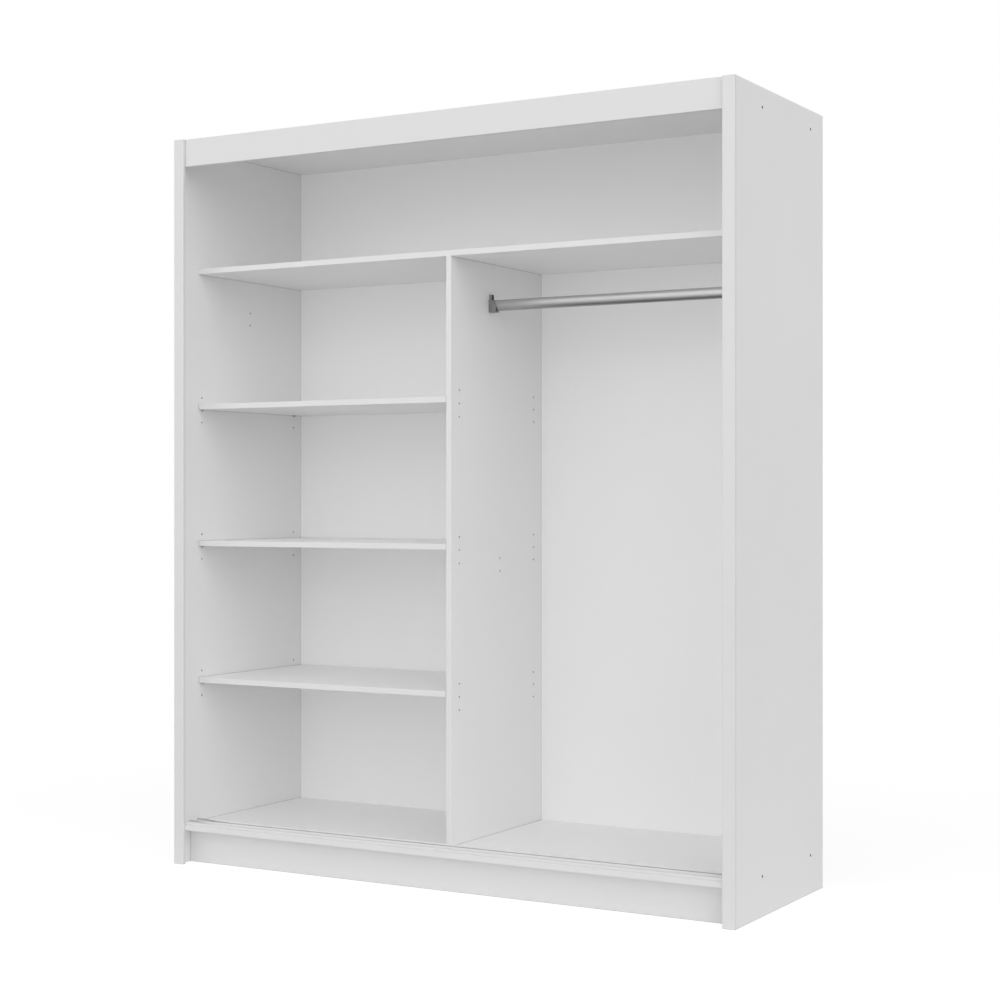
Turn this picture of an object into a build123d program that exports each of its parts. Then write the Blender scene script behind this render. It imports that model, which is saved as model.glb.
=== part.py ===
from build123d import *
import os

# Carcass of a sliding door wardrobe: a shelf bay, a hanging bay and a full-width top
# compartment, standing on a plinth, with the two tracks that carry its doors.
# Origin: middle of the footprint, on the floor. +X to the right, +Y to the back, +Z up.
# All sizes are millimetres.

# ---- overall ---------------------------------------------------------------------------
width = 1800.0            # over both side panels
depth = 620.0             # front strips to rear edges
height = 2150.0

# ---- boards ----------------------------------------------------------------------------
side_thickness = 18.0
board_thickness = 16.0
back_thickness = 3.0
back_rebate = 9.0         # how far the back sheets reach into the side panels' rear edges
back_margin = 2.0         # back sheets stop this far inside the top and bottom faces
sheet_gap = 1.0           # between two back sheets that share a board's rear edge
edge_thickness = 1.0      # plastic band on the front edges
edge_round = 0.8

strip_width = 35.0        # upright strips on the front of the side panels
strip_thickness = 10.0
strip_round = 2.0
header_height = 80.0      # board that hides the upper track
plinth_height = 100.0
plinth_setback = 55.0     # behind the front face
rear_plinth_inset = 16.0  # ahead of the back sheets

# ---- interior --------------------------------------------------------------------------
shelf_setback = 94.0      # front edges of shelves and divider, behind the front face
top_space = 358.0         # clear height of the top compartment
left_bay = 874.0          # clear width of the shelf bay
lowest_space = 415.0      # clear height under the lowest adjustable shelf
shelf_pitch = 411.0       # from one adjustable shelf to the next
shelf_end_gap = 1.0       # loose shelf to its neighbours, left and right
shelf_rear_gap = 2.0      # loose shelf to the back sheet
shelf_names = ("lower", "middle", "upper")

# ---- shelf pins and their rows of holes ------------------------------------------------
pin_radius = 2.5
pin_seat = 8.0            # length inside a board
pin_reach = 8.0           # length that stands out under a shelf
pin_flat = 0.5            # flat on top, under the shelf
pin_pitch = 37.0          # from one hole of a row to the next
side_row_front = 15.0     # pin rows of the side panel, behind the shelf's front edge
side_row_rear = 42.0      # and ahead of the back sheet
divider_row_front = 44.0
divider_row_rear = 51.0

# ---- hanging rail ----------------------------------------------------------------------
rail_height = 32.0        # oval tube
rail_thickness = 15.0
rail_wall = 1.2
rail_drop = 121.0         # centre of the tube below the top shelf
rail_depth = 311.0        # centre of the tube behind the front face
rail_fit = 0.3            # tube to its bracket, all round

cup_wall = 1.5            # cheeks of the bracket
cup_plate = 3.0           # its plate against the board
cup_lip = 3.3             # thickness of the lip under the tube
cup_reach = 23.5          # cheeks and lip, from the board
cup_neck = 10.0           # cheeks at their upper end
cup_top = 1.0             # cheeks above the top of the tube
tab_reach = 9.0           # screw boss above the tube
tab_width = 10.0
tab_height = 14.5
bracket_screw_rise = 24.0  # upper screw above the centre of the tube
bracket_screw_pitch = 37.0

spare_rail_depth = 347.5  # spare bracket holes of the left side panel, behind the front face
spare_low_depth = 365.0   # spare bracket holes of the divider
spare_low_height = 912.0
spare_hole_depth = 12.0

# ---- tracks ----------------------------------------------------------------------------
track_wall = 2.0
track_base = 2.0
track_edge_round = 0.6
lower_track_setback = 14.0
lower_channel = 35.0      # clear width of each lower channel
lower_track_height = 8.0
upper_channel = 28.0      # clear width of each upper channel
upper_track_height = 30.0
upper_track_gap = 1.5     # behind the header
track_screw_count = 6
track_screw_margin = 90.0

# ---- fittings --------------------------------------------------------------------------
dowel_radius = 4.0
dowel_half = 15.0         # reach into each of two boards
dowel_end = 11.0          # reach of a dowel that meets a board's end
strip_dowel_radius = 3.0
strip_dowel_seat = 7.0
strip_dowel_count = 5
strip_dowel_margin = 120.0  # first and last dowel of a strip, from its ends
plinth_dowel_count = 4
plinth_dowel_margin = 60.0

cam_radius = 7.5
cam_depth = 12.5
cam_inset = 24.0          # cam centre from the end of its board
cam_front = 150.0         # rows of cams behind the front face
cam_rear = 60.0           # and ahead of the back sheets
cam_slot_width = 2.0
cam_slot_depth = 1.5
bolt_radius = 3.0
bolt_seat = 11.0          # thread in the neighbouring board
header_cam_count = 3
header_cam_margin = 300.0

long_screw_radius = 3.5   # screws that hold the divider
long_screw_length = 50.0
long_screw_head = 5.0
small_screw_radius = 1.75
small_screw_head = 2.8
small_screw_seat = 12.0   # length inside a board
head_depth = 1.8
recess_width = 0.8
recess_depth = 1.0

nail_radius = 0.8
nail_head = 2.0
nail_head_depth = 0.6
nail_length = 18.0
nail_pitch = 260.0
nail_inset = 4.5          # from the edge of a back sheet
nail_margin = 60.0        # first and last nail of a row

link_radius = 3.9         # sleeves for screws that link a neighbouring cabinet
link_bore = 2.5
link_depth = 12.0
link_floor = 2.0          # closed end of the sleeve
link_front = 181.5        # front row behind the front face
link_spacing = 345.5
link_low = 105.0
link_from_top = 51.5

# ---- planes that the pieces share ------------------------------------------------------
front = -depth / 2
rear = depth / 2
left_face = -width / 2 + side_thickness
right_face = width / 2 - side_thickness
side_front = front + strip_thickness
back_face = rear - back_thickness
floor_top = plinth_height + board_thickness
ceiling = height - board_thickness
header_back = side_front + board_thickness
shelf_front = front + shelf_setback
top_shelf_top = ceiling - top_space
top_shelf_under = top_shelf_top - board_thickness
divider_left = left_face + left_bay
divider_right = divider_left + board_thickness
divider_middle = divider_left + board_thickness / 2
shelf_unders = [floor_top + lowest_space + i * shelf_pitch for i in range(len(shelf_names))]
rail_z = top_shelf_under - rail_drop
rail_y = front + rail_depth
between = (left_face, right_face)

RIGHT, LEFT = Vector(1, 0, 0), Vector(-1, 0, 0)
BACK, FORWARD = Vector(0, 1, 0), Vector(0, -1, 0)
UP, DOWN = Vector(0, 0, 1), Vector(0, 0, -1)


# ---- shapes used many times ------------------------------------------------------------
FROM_START = (Align.CENTER, Align.CENTER, Align.MIN)


class Fitting:
    """Fastener or other small piece, with the seat that the boards get for it.

    Both are made at the origin, along +Z, and placed copies are made with at().
    """

    def __init__(self, piece, seat=None):
        self.piece = piece
        self.seat = seat or piece
        self.room = self.seat.bounding_box()

    def at(self, point, direction, x_dir=None):
        place = Plane(origin=point, x_dir=x_dir, z_dir=direction).location
        return Fitting(place * self.piece, place * self.seat)


def slab(x, y, z):
    """Board between two limits along each axis."""
    size = (x[1] - x[0], y[1] - y[0], z[1] - z[0])
    return Pos((x[0] + x[1]) / 2, (y[0] + y[1]) / 2, (z[0] + z[1]) / 2) * Box(*size)


def rod(radius, length, start=0.0):
    """Round rod along +Z."""
    return Pos(0, 0, start) * Cylinder(radius, length, align=FROM_START)


def dowel(radius, before, after):
    """Wooden dowel across a joint of two boards."""
    return Fitting(rod(radius, before + after, -before))


def screw(length, radius, head_radius):
    """Countersunk screw with a cross recess, its head flush with the face."""
    seat = rod(radius, length) + Cone(head_radius, radius, head_depth, align=FROM_START)
    piece = seat
    for size in ((head_radius, recess_width), (recess_width, head_radius)):
        piece -= Box(*size, recess_depth, align=FROM_START)
    return Fitting(piece, seat)


def spread(low, high, count, margin):
    """Evenly spaced places between two limits, the first and last a margin inside."""
    step = (high - low - 2 * margin) / (count - 1)
    return [low + margin + i * step for i in range(count)]


def paced(low, high, pitch, margin):
    """Evenly spaced places, about a pitch apart."""
    return spread(low, high, max(2, int((high - low) // pitch) + 1), margin)


def overlaps(a, b):
    """Whether two boxes share some room."""
    return (a.min.X < b.max.X and b.min.X < a.max.X and a.min.Y < b.max.Y
            and b.min.Y < a.max.Y and a.min.Z < b.max.Z and b.min.Z < a.max.Z)


def bored(board, fittings):
    """Board with a seat for every fitting that reaches into it."""
    room = board.bounding_box()
    near = [item.seat for item in fittings if overlaps(room, item.room)]
    return board - near if near else board


def rounded_front(band):
    """Edge band with its two long front edges rounded."""
    edges = band.edges().group_by(Axis.Y)[0]
    return fillet(edges.sort_by(SortBy.LENGTH)[-2:], edge_round)


def double_channel(y_start, channel, z_base, z_tip):
    """Track: a base and three walls, the walls' free edges rounded."""
    outward = 1 if z_tip > z_base else -1
    across = 2 * channel + 3 * track_wall
    base_z = sorted((z_base, z_base + outward * track_base))
    profile = slab(between, (y_start, y_start + across), base_z)
    for i in range(3):
        y = y_start + i * (channel + track_wall)
        profile += slab(between, (y, y + track_wall), sorted((z_base, z_tip)))
    edges = profile.edges().filter_by(Axis.X)
    tips = [e for e in edges if abs(e.center().Z - z_tip) < track_edge_round / 2]
    return fillet(tips, track_edge_round)


# ---- fittings --------------------------------------------------------------------------
front_plinth_y = (front + plinth_setback, front + plinth_setback + board_thickness)
rear_plinth_y = (back_face - rear_plinth_inset - board_thickness, back_face - rear_plinth_inset)
plinth_heights = (plinth_height / 4, plinth_height * 3 / 4)
cam_rows = (front + cam_front, back_face - cam_rear)
ends = ((left_face, RIGHT), (right_face, LEFT))     # inner faces, and the way into the bays
outsides = ((-width / 2, RIGHT), (width / 2, LEFT))  # outer faces, and the way into the panels
fittings = {}

end_dowel = dowel(dowel_radius, dowel_end, dowel_end)
rib_dowel = dowel(dowel_radius, board_thickness / 2, dowel_half)
plinth_dowel = dowel(dowel_radius, dowel_half, board_thickness / 2)
strip_dowel = dowel(strip_dowel_radius, strip_dowel_seat, dowel_half)
header_y = side_front + board_thickness / 2
header_heights = (height - header_height / 4, height - header_height * 3 / 4)
fittings["dowels"] = (
    [strip_dowel.at((x + way.X * side_thickness / 2, side_front, z), BACK)
     for x, way in outsides
     for z in spread(0, height, strip_dowel_count, strip_dowel_margin)]
    + [end_dowel.at((x, header_y, z), way) for x, way in ends for z in header_heights]
    + [end_dowel.at((x, sum(y) / 2, z), way)
       for x, way in ends for y in (front_plinth_y, rear_plinth_y) for z in plinth_heights]
    + [plinth_dowel.at((x, sum(y) / 2, plinth_height), UP)
       for y in (front_plinth_y, rear_plinth_y)
       for x in spread(left_face, right_face, plinth_dowel_count, plinth_dowel_margin)]
    + [rib_dowel.at((divider_middle, y, z), way)
       for y, way in ((front_plinth_y[1], BACK), (rear_plinth_y[0], FORWARD))
       for z in plinth_heights])

# A cam and its bolt pull the end of a board against its neighbour. They start on the joint,
# in the middle of the board's thickness: +Z into the board, +X to the face that holds the cam.
bolt = rod(bolt_radius, bolt_seat + cam_inset, -bolt_seat)
cam_start = board_thickness / 2 - cam_depth
cam_disc = Pos(cam_start, 0, cam_inset) * Rot(0, 90, 0) * rod(cam_radius, cam_depth)
cam_slot = Pos(board_thickness / 2, 0, cam_inset) * Box(
    2 * cam_slot_depth, cam_slot_width, 2 * cam_radius)
cam = Fitting(cam_disc - cam_slot - bolt, cam_disc)
cam_bolt = Fitting(bolt)
cam_sites = [((x, y, middle), way, face)
             for middle, face in ((ceiling + board_thickness / 2, UP),
                                  (top_shelf_under + board_thickness / 2, UP),
                                  (plinth_height + board_thickness / 2, DOWN))
             for y in cam_rows for x, way in ends]
cam_sites += [((x, header_back, ceiling + board_thickness / 2), BACK, UP)
              for x in spread(left_face, right_face, header_cam_count, header_cam_margin)]
fittings["cam_locks"] = [cam.at(*site) for site in cam_sites]
fittings["cam_bolts"] = [cam_bolt.at(*site) for site in cam_sites]

long_screw = screw(long_screw_length, long_screw_radius, long_screw_head)
fittings["divider_screws"] = [
    long_screw.at((divider_middle, y, z), way)
    for y in cam_rows for z, way in ((top_shelf_top, DOWN), (plinth_height, UP))]

# A shelf pin is let into the board along +Z and stands out below the shelf along -Z.
pin_rod = rod(pin_radius, pin_seat + pin_reach, -pin_reach)
pin_cut = Pos(pin_radius, 0, -pin_reach / 2) * Box(2 * pin_flat, 2 * pin_radius, pin_reach)
pin = Fitting(pin_rod - pin_cut, pin_rod)
pin_sites = [(left_face, LEFT, shelf_front + side_row_front, pin_seat),
             (left_face, LEFT, back_face - side_row_rear, pin_seat),
             (divider_left, RIGHT, shelf_front + divider_row_front, board_thickness),
             (divider_left, RIGHT, back_face - divider_row_rear, board_thickness)]
fittings["shelf_pins"] = [pin.at((x, y, under - pin_radius + pin_flat), way, UP)
                          for under in shelf_unders for x, way, y, _ in pin_sites]

bracket_heights = (rail_z + bracket_screw_rise, rail_z + bracket_screw_rise - bracket_screw_pitch)
bracket_screws = [(z, stand, screw(stand + small_screw_seat, small_screw_radius, small_screw_head))
                  for z, stand in zip(bracket_heights, (tab_reach, cup_plate))]
fittings["bracket_screws"] = [
    item.at((x + way.X * stand, rail_y, z), -way)
    for x, way in ((divider_right, RIGHT), (right_face, LEFT)) for z, stand, item in bracket_screws]

track_screw = screw(track_base + small_screw_seat, small_screw_radius, small_screw_head)
lower_start = front + lower_track_setback
upper_start = header_back + upper_track_gap
fittings["track_screws"] = [
    track_screw.at((x, y_start + track_wall + channel / 2 + i * (channel + track_wall), z), way)
    for y_start, channel, z, way in (
        (lower_start, lower_channel, floor_top + track_base, DOWN),
        (upper_start, upper_channel, ceiling - track_base, UP))
    for i in range(2)
    for x in spread(left_face, right_face, track_screw_count, track_screw_margin)]

sleeve_seat = rod(link_radius, link_depth)
sleeve = Fitting(sleeve_seat - rod(link_bore, link_depth - link_floor), sleeve_seat)
fittings["link_sleeves"] = [
    sleeve.at((x, y, z), way) for x, way in outsides
    for y in (front + link_front, front + link_front + link_spacing)
    for z in (link_low, height - link_from_top)]

# ---- back sheets and their nails -------------------------------------------------------
sheet_left, sheet_right = left_face - back_rebate, right_face + back_rebate
sheet_low, sheet_high = plinth_height + back_margin, height - back_margin
sheet_split = top_shelf_under + board_thickness / 2
below_split, above_split = sheet_split - sheet_gap / 2, sheet_split + sheet_gap / 2
sheets = {
    "left_back_sheet": ((sheet_left, divider_middle - sheet_gap / 2), (sheet_low, below_split)),
    "right_back_sheet": ((divider_middle + sheet_gap / 2, sheet_right), (sheet_low, below_split)),
    "top_back_sheet": ((sheet_left, sheet_right), (above_split, sheet_high)),
}
nail = Fitting(rod(nail_radius, nail_length) + rod(nail_head, nail_head_depth))
fittings["back_nails"] = []
for (x_low, x_high), (z_low, z_high) in sheets.values():
    across = paced(x_low, x_high, nail_pitch, nail_margin)
    upward = paced(z_low, z_high, nail_pitch, nail_margin)
    spots = [(x, z) for x in across for z in (z_low + nail_inset, z_high - nail_inset)]
    spots += [(x, z) for z in upward for x in (x_low + nail_inset, x_high - nail_inset)]
    fittings["back_nails"] += [nail.at((x, rear, z), FORWARD) for x, z in spots]

# ---- holes that stay empty -------------------------------------------------------------
empty_holes = [Fitting(rod(pin_radius, seat)).at((x, y, under - pin_radius + pin_flat + step), way)
               for under in shelf_unders for x, way, y, seat in pin_sites
               for step in (-pin_pitch, 0, pin_pitch)]
spare_hole = Fitting(rod(pin_radius, spare_hole_depth))
empty_holes += [spare_hole.at((left_face, front + spare_rail_depth, z), LEFT)
                for z in bracket_heights]
empty_holes += [spare_hole.at((divider_right, front + spare_low_depth, z), LEFT)
                for z in (spare_low_height, spare_low_height - bracket_screw_pitch)]

# ---- boards ----------------------------------------------------------------------------
inside_depth = (shelf_front + edge_thickness, back_face)
solids = {}

rebate_y = (back_face, rear)
for name, outer, inner in (("left", -width / 2, left_face), ("right", width / 2, right_face)):
    towards = 1 if inner > outer else -1
    panel = slab(sorted((outer, inner)), (side_front, rear), (0, height))
    rebate = slab(sorted((inner - towards * back_rebate, inner)), rebate_y, (sheet_low, height))
    solids[f"{name}_side_panel"] = panel - rebate
    strip = slab(sorted((outer, outer + towards * strip_width)), (front, side_front), (0, height))
    upright = strip.edges().filter_by(Axis.Z).group_by(Axis.Y)[0]
    solids[f"{name}_front_strip"] = fillet(upright, strip_round)

solids["header_fascia"] = slab(between, (side_front, header_back), (height - header_height, height))
solids["top_panel"] = slab(between, (header_back, back_face), (ceiling, height))
solids["bottom_panel"] = slab(
    between, (side_front + edge_thickness, back_face), (plinth_height, floor_top))
solids["front_plinth"] = slab(between, front_plinth_y, (0, plinth_height))
solids["rear_plinth"] = slab(between, rear_plinth_y, (0, plinth_height))
solids["plinth_rib"] = slab(
    (divider_left, divider_right), (front_plinth_y[1], rear_plinth_y[0]), (0, plinth_height))
solids["centre_divider"] = slab(
    (divider_left, divider_right), inside_depth, (floor_top, top_shelf_under))
solids["top_shelf"] = slab(between, inside_depth, (top_shelf_under, top_shelf_top))
for name, (x_span, z_span) in sheets.items():
    solids[name] = slab(x_span, (back_face, rear), z_span)

let_in = empty_holes + [item for group in fittings.values() for item in group]
solids = {name: bored(board, let_in) for name, board in solids.items()}

shelf_x = (left_face + shelf_end_gap, divider_left - shelf_end_gap)
band_depth = (shelf_front, shelf_front + edge_thickness)
for name, under in zip(shelf_names, shelf_unders):
    shelf_z = (under, under + board_thickness)
    shelf_y = (shelf_front + edge_thickness, back_face - shelf_rear_gap)
    solids[f"{name}_shelf"] = slab(shelf_x, shelf_y, shelf_z)
    solids[f"{name}_shelf_edge"] = rounded_front(slab(shelf_x, band_depth, shelf_z))
solids["top_shelf_edge"] = rounded_front(
    slab(between, band_depth, (top_shelf_under, top_shelf_top)))
solids["divider_edge"] = rounded_front(
    slab((divider_left, divider_right), band_depth, (floor_top, top_shelf_under)))
solids["bottom_panel_edge"] = rounded_front(
    slab(between, (side_front, side_front + edge_thickness), (plinth_height, floor_top)))

# ---- tracks ----------------------------------------------------------------------------
for name, track in (
        ("lower_track", double_channel(
            lower_start, lower_channel, floor_top, floor_top + lower_track_height)),
        ("upper_track", double_channel(
            upper_start, upper_channel, ceiling, ceiling - upper_track_height))):
    solids[name] = bored(track, fittings["track_screws"])

# ---- hanging rail and its brackets -----------------------------------------------------
rail_x = (divider_right + tab_reach + rail_fit, right_face - tab_reach - rail_fit)
oval = Ellipse(rail_thickness / 2, rail_height / 2)
oval -= Ellipse(rail_thickness / 2 - rail_wall, rail_height / 2 - rail_wall)
rail_end = Plane(origin=(rail_x[0], rail_y, rail_z), x_dir=BACK, z_dir=RIGHT)
solids["hanging_rail"] = extrude(rail_end * oval, rail_x[1] - rail_x[0])


def rail_bracket():
    """Open-topped cup on the divider, with a screw boss above the tube.

    Its two cheeks narrow towards the top, and its lip carries the end of the tube.
    """
    lip_top = rail_z - rail_height / 2 - rail_fit
    lip_low = lip_top - cup_lip
    neck_z = rail_z + rail_height / 2 + cup_top
    half = rail_thickness / 2 + rail_fit + cup_wall
    sides = (rail_y - half, rail_y + half)
    x = divider_right
    outline = [(x, lip_low), (x + cup_reach, lip_low), (x + cup_reach, rail_z),
               (x + cup_neck, neck_z), (x, neck_z)]
    face = make_face(Polyline(*[(u, 0, w) for u, w in outline], close=True))
    cheek = extrude(face, cup_wall, dir=BACK)
    cup = slab((x, x + cup_plate), sides, (lip_low, neck_z))
    cup += slab((x, x + cup_reach), sides, (lip_low, lip_top))
    cup += [Pos(0, sides[0], 0) * cheek, Pos(0, sides[1] - cup_wall, 0) * cheek]
    tab_y = (rail_y - tab_width / 2, rail_y + tab_width / 2)
    return cup + slab((x, x + tab_reach), tab_y, (neck_z, neck_z + tab_height))


left_cup = rail_bracket()
bay_middle = Plane.YZ.offset((divider_right + right_face) / 2)
for name, cup in (("left_rail_bracket", left_cup),
                  ("right_rail_bracket", mirror(left_cup, about=bay_middle))):
    solids[name] = bored(cup, fittings["bracket_screws"])

# ---- files -----------------------------------------------------------------------------
for name, group in fittings.items():
    solids[name] = Compound([solid for item in group for solid in item.piece.solids()])

os.makedirs("parts", exist_ok=True)
for name, shape in solids.items():
    shape.label = name
    export_step(shape, f"parts/{name}.step")
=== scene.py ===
"""Looks of an open sliding door wardrobe cabinet, dressed around its CAD frame.

Boards, bands, back sheets, tracks and fittings keep their CAD shapes and get their finishes here.
The hanging rail and its two brackets are shaped here in finer detail. All lengths are metres.
"""

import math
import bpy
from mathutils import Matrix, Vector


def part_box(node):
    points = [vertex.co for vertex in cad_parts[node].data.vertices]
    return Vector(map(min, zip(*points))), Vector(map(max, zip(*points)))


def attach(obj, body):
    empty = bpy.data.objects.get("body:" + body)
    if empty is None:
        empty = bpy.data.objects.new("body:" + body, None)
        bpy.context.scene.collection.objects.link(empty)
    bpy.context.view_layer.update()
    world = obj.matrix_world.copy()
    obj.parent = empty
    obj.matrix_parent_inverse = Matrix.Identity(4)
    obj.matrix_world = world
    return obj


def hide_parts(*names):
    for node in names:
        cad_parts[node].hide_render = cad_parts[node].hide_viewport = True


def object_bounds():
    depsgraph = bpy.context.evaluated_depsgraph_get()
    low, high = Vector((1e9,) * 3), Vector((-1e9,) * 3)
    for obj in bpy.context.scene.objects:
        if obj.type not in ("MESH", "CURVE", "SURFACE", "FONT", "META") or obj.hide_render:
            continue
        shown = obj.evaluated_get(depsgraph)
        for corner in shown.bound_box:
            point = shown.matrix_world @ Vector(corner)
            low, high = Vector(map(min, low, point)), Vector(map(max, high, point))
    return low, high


bl_info = {
    "name": "Sliding Door Wardrobe Cabinet",
    "version": (1, 0, 0),
    "blender": (4, 5, 0),
    "location": "View3D > Sidebar > Wardrobe",
    "description": "Finishes, rail fittings and studio of an open wardrobe cabinet",
    "category": "Object",
}

import bmesh
import bpy
import numpy as np
from bpy.props import FloatProperty, FloatVectorProperty, IntProperty, PointerProperty
from mathutils import Vector

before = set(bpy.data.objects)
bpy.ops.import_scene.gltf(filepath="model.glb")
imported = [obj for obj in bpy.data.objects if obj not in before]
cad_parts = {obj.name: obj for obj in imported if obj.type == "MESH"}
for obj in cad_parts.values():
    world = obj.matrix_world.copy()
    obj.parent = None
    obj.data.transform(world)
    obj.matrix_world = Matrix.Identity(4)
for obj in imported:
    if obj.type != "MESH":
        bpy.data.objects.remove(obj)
CAD_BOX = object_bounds()
RAIL_LOW, RAIL_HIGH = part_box("hanging_rail")
SHEET_LOW, SHEET_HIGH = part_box("left_back_sheet")
TRACK_LOW, TRACK_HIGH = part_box("lower_track")

ROOT_BODY = "carcass"
RAIL_BODY = "hanging_rail"
RAIL_BRACKETS = ("left_rail_bracket", "right_rail_bracket")

# White boards: raw at the rear with bores in their faces, raw at the rear alone, and faced
# all round.
BORED_BOARDS = ("left_side_panel", "right_side_panel", "centre_divider")
RAW_REAR_BOARDS = ("top_panel", "bottom_panel", "top_shelf", "lower_shelf", "middle_shelf",
                   "upper_shelf")
FACED_BOARDS = ("left_front_strip", "right_front_strip", "header_fascia", "front_plinth",
                "rear_plinth", "plinth_rib")
EDGE_BANDS = ("bottom_panel_edge", "divider_edge", "top_shelf_edge", "lower_shelf_edge",
              "middle_shelf_edge", "upper_shelf_edge")
BACK_SHEETS = ("left_back_sheet", "right_back_sheet", "top_back_sheet")
TRACKS = ("lower_track", "upper_track")
STEEL_FITTINGS = ("back_nails", "cam_bolts", "cam_locks", "divider_screws", "shelf_pins",
                  "track_screws")


# ---- settings --------------------------------------------------------------------------

def colour_setting(name, description, default):
    return FloatVectorProperty(name=name, description=description, default=default,
                               subtype="COLOR", size=3, min=0.0, max=1.0)


def length_setting(name, description, default, low=0.0, high=20.0):
    return FloatProperty(name=name, description=description, default=default, min=low, max=high,
                         precision=5, unit="LENGTH")


class WardrobeFinishes(bpy.types.PropertyGroup):
    """Colours of the cabinet's surfaces."""

    melamine: colour_setting("Melamine", "Faces of the boards", (0.86, 0.86, 0.86))
    # Painted shade: the front boards are the same white melamine, given a darker colour because
    # their faces stand in full light.
    front: colour_setting("Front boards", "Strips, header and plinth", (0.765, 0.765, 0.765))
    band: colour_setting("Edge band", "Plastic band on the boards' front edges",
                         (0.80, 0.80, 0.80))
    chip_light: colour_setting("Chip, light", "Light flakes of the raw chipboard edge",
                               (0.58, 0.42, 0.25))
    chip_dark: colour_setting("Chip, dark", "Dark flakes of the raw chipboard edge",
                              (0.27, 0.16, 0.08))
    # Painted shade: the bore walls are raw chipboard, painted near black for the shade inside the
    # holes.
    bore_shade: colour_setting("Bore shade", "Walls of the drilled holes, dark with glue and dust",
                         (0.07, 0.067, 0.064))
    sheet_face: colour_setting("Back sheet, face", "Painted face of the back sheets",
                               (0.89, 0.89, 0.89))
    sheet_rear: colour_setting("Back sheet, rear", "Raw rear of the back sheets",
                               (0.26, 0.15, 0.08))
    chrome: colour_setting("Chrome", "Plating of the hanging rail", (0.495, 0.495, 0.50))
    bracket: colour_setting("Bracket", "Plated die-cast rail brackets", (0.30, 0.30, 0.305))
    bracket_cap: colour_setting("Bracket cap", "Plastic caps on the brackets' screw bosses",
                                (0.006, 0.006, 0.006))
    track: colour_setting("Track", "Coat of the door tracks", (0.80, 0.80, 0.80))
    # Colour of the painted shade on the lower track's walls: a contact shadow along the rear
    # wall's foot and shadow wedges at its left end.
    track_shade: colour_setting("Track shade", "Old grease on the walls of the lower track",
                           (0.10, 0.10, 0.10))
    zinc: colour_setting("Zinc", "Plating of screws, pins, cams and nails", (0.55, 0.56, 0.57))
    black_zinc: colour_setting("Black zinc", "Plating of the bracket screws",
                               (0.02, 0.02, 0.02))
    beech: colour_setting("Beech", "Wood of the dowels", (0.50, 0.31, 0.15))
    sleeve: colour_setting("Sleeve", "Plastic sleeves in the side panels",
                           (0.004, 0.004, 0.004))


class WardrobeRail(bpy.types.PropertyGroup):
    """Sizes of the rail and the brackets that the CAD model leaves plain."""

    wall: length_setting("Wall", "Wall of the oval tube", 0.0012, 0.0004, 0.003)
    end_round: length_setting("End rounding", "Rounding of the tube's cut ends", 0.0003, 0.0,
                              0.0006)
    facets: IntProperty(name="Facets", description="Steps round the oval", default=160,
                        min=24, max=512)
    boss_reach: length_setting("Boss reach", "Screw boss of a bracket, from its board", 0.009)
    boss_height: length_setting("Boss height", "Screw boss of a bracket, above its cheeks",
                                0.0145)
    cast_round: length_setting("Cast rounding", "Rounding of the brackets' edges", 0.00035, 0.0,
                               0.0006)


class WardrobeStudio(bpy.types.PropertyGroup):
    """Camera, floor and light."""

    camera_place: FloatVectorProperty(name="Camera", description="Place of the camera",
                                      default=(2.8306, -4.8324, 1.0805), subtype="TRANSLATION",
                                      size=3, unit="LENGTH")
    camera_turn: FloatProperty(name="Turn", description="Turn of the level camera to the left",
                               default=math.radians(30.0), subtype="ANGLE", unit="ROTATION")
    lens: FloatProperty(name="Lens", description="Focal length in millimetres", default=70.0,
                        min=10.0, max=300.0)
    floor_size: length_setting("Floor", "Side of the square floor", 60.0, 5.0, 200.0)
    floor_colour: colour_setting("Floor colour", "Pale studio floor", (0.80, 0.80, 0.80))
    floor_shade: colour_setting("Floor shade", "Part of the shown floor that takes shadow",
                                (0.25, 0.25, 0.25))
    floor_glow: FloatProperty(name="Floor glow", description="Part of the shown floor that glows",
                              default=0.83, min=0.0, max=5.0)
    cloth_low: FloatProperty(name="Cloth, low", description="Glow of the cloth on the floor",
                             default=0.03, min=0.0, max=5.0)
    cloth_high: FloatProperty(name="Cloth, high", description="Glow of the cloth's top",
                              default=2.8, min=0.0, max=5.0)
    cloth_start: length_setting("Cloth start", "From the cabinet's middle to the cloth", 0.5)
    cloth_stand: length_setting("Cloth stand", "From the cabinet's middle to the stand", 6.0)
    cloth_turn: length_setting("Cloth turn", "Radius from floor to stand", 0.6)
    cloth_height: length_setting("Cloth height", "Top of the cloth on its stand", 5.0)
    cloth_width: length_setting("Cloth width", "Width of the cloth", 12.0)
    cloth_lift: length_setting("Cloth lift", "Cloth above the floor", 0.004)
    ambient: FloatProperty(name="Ambient", description="Light from all sides", default=0.406,
                           min=0.0, max=3.0)
    bounces: IntProperty(name="Bounces", description="Diffuse bounces inside the white bays",
                         default=8, min=1, max=32)


class WardrobeSettings(bpy.types.PropertyGroup):
    """Everything that can be set for the wardrobe."""

    finishes: PointerProperty(type=WardrobeFinishes)
    rail: PointerProperty(type=WardrobeRail)
    studio: PointerProperty(type=WardrobeStudio)


# ---- node helpers ----------------------------------------------------------------------

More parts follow.
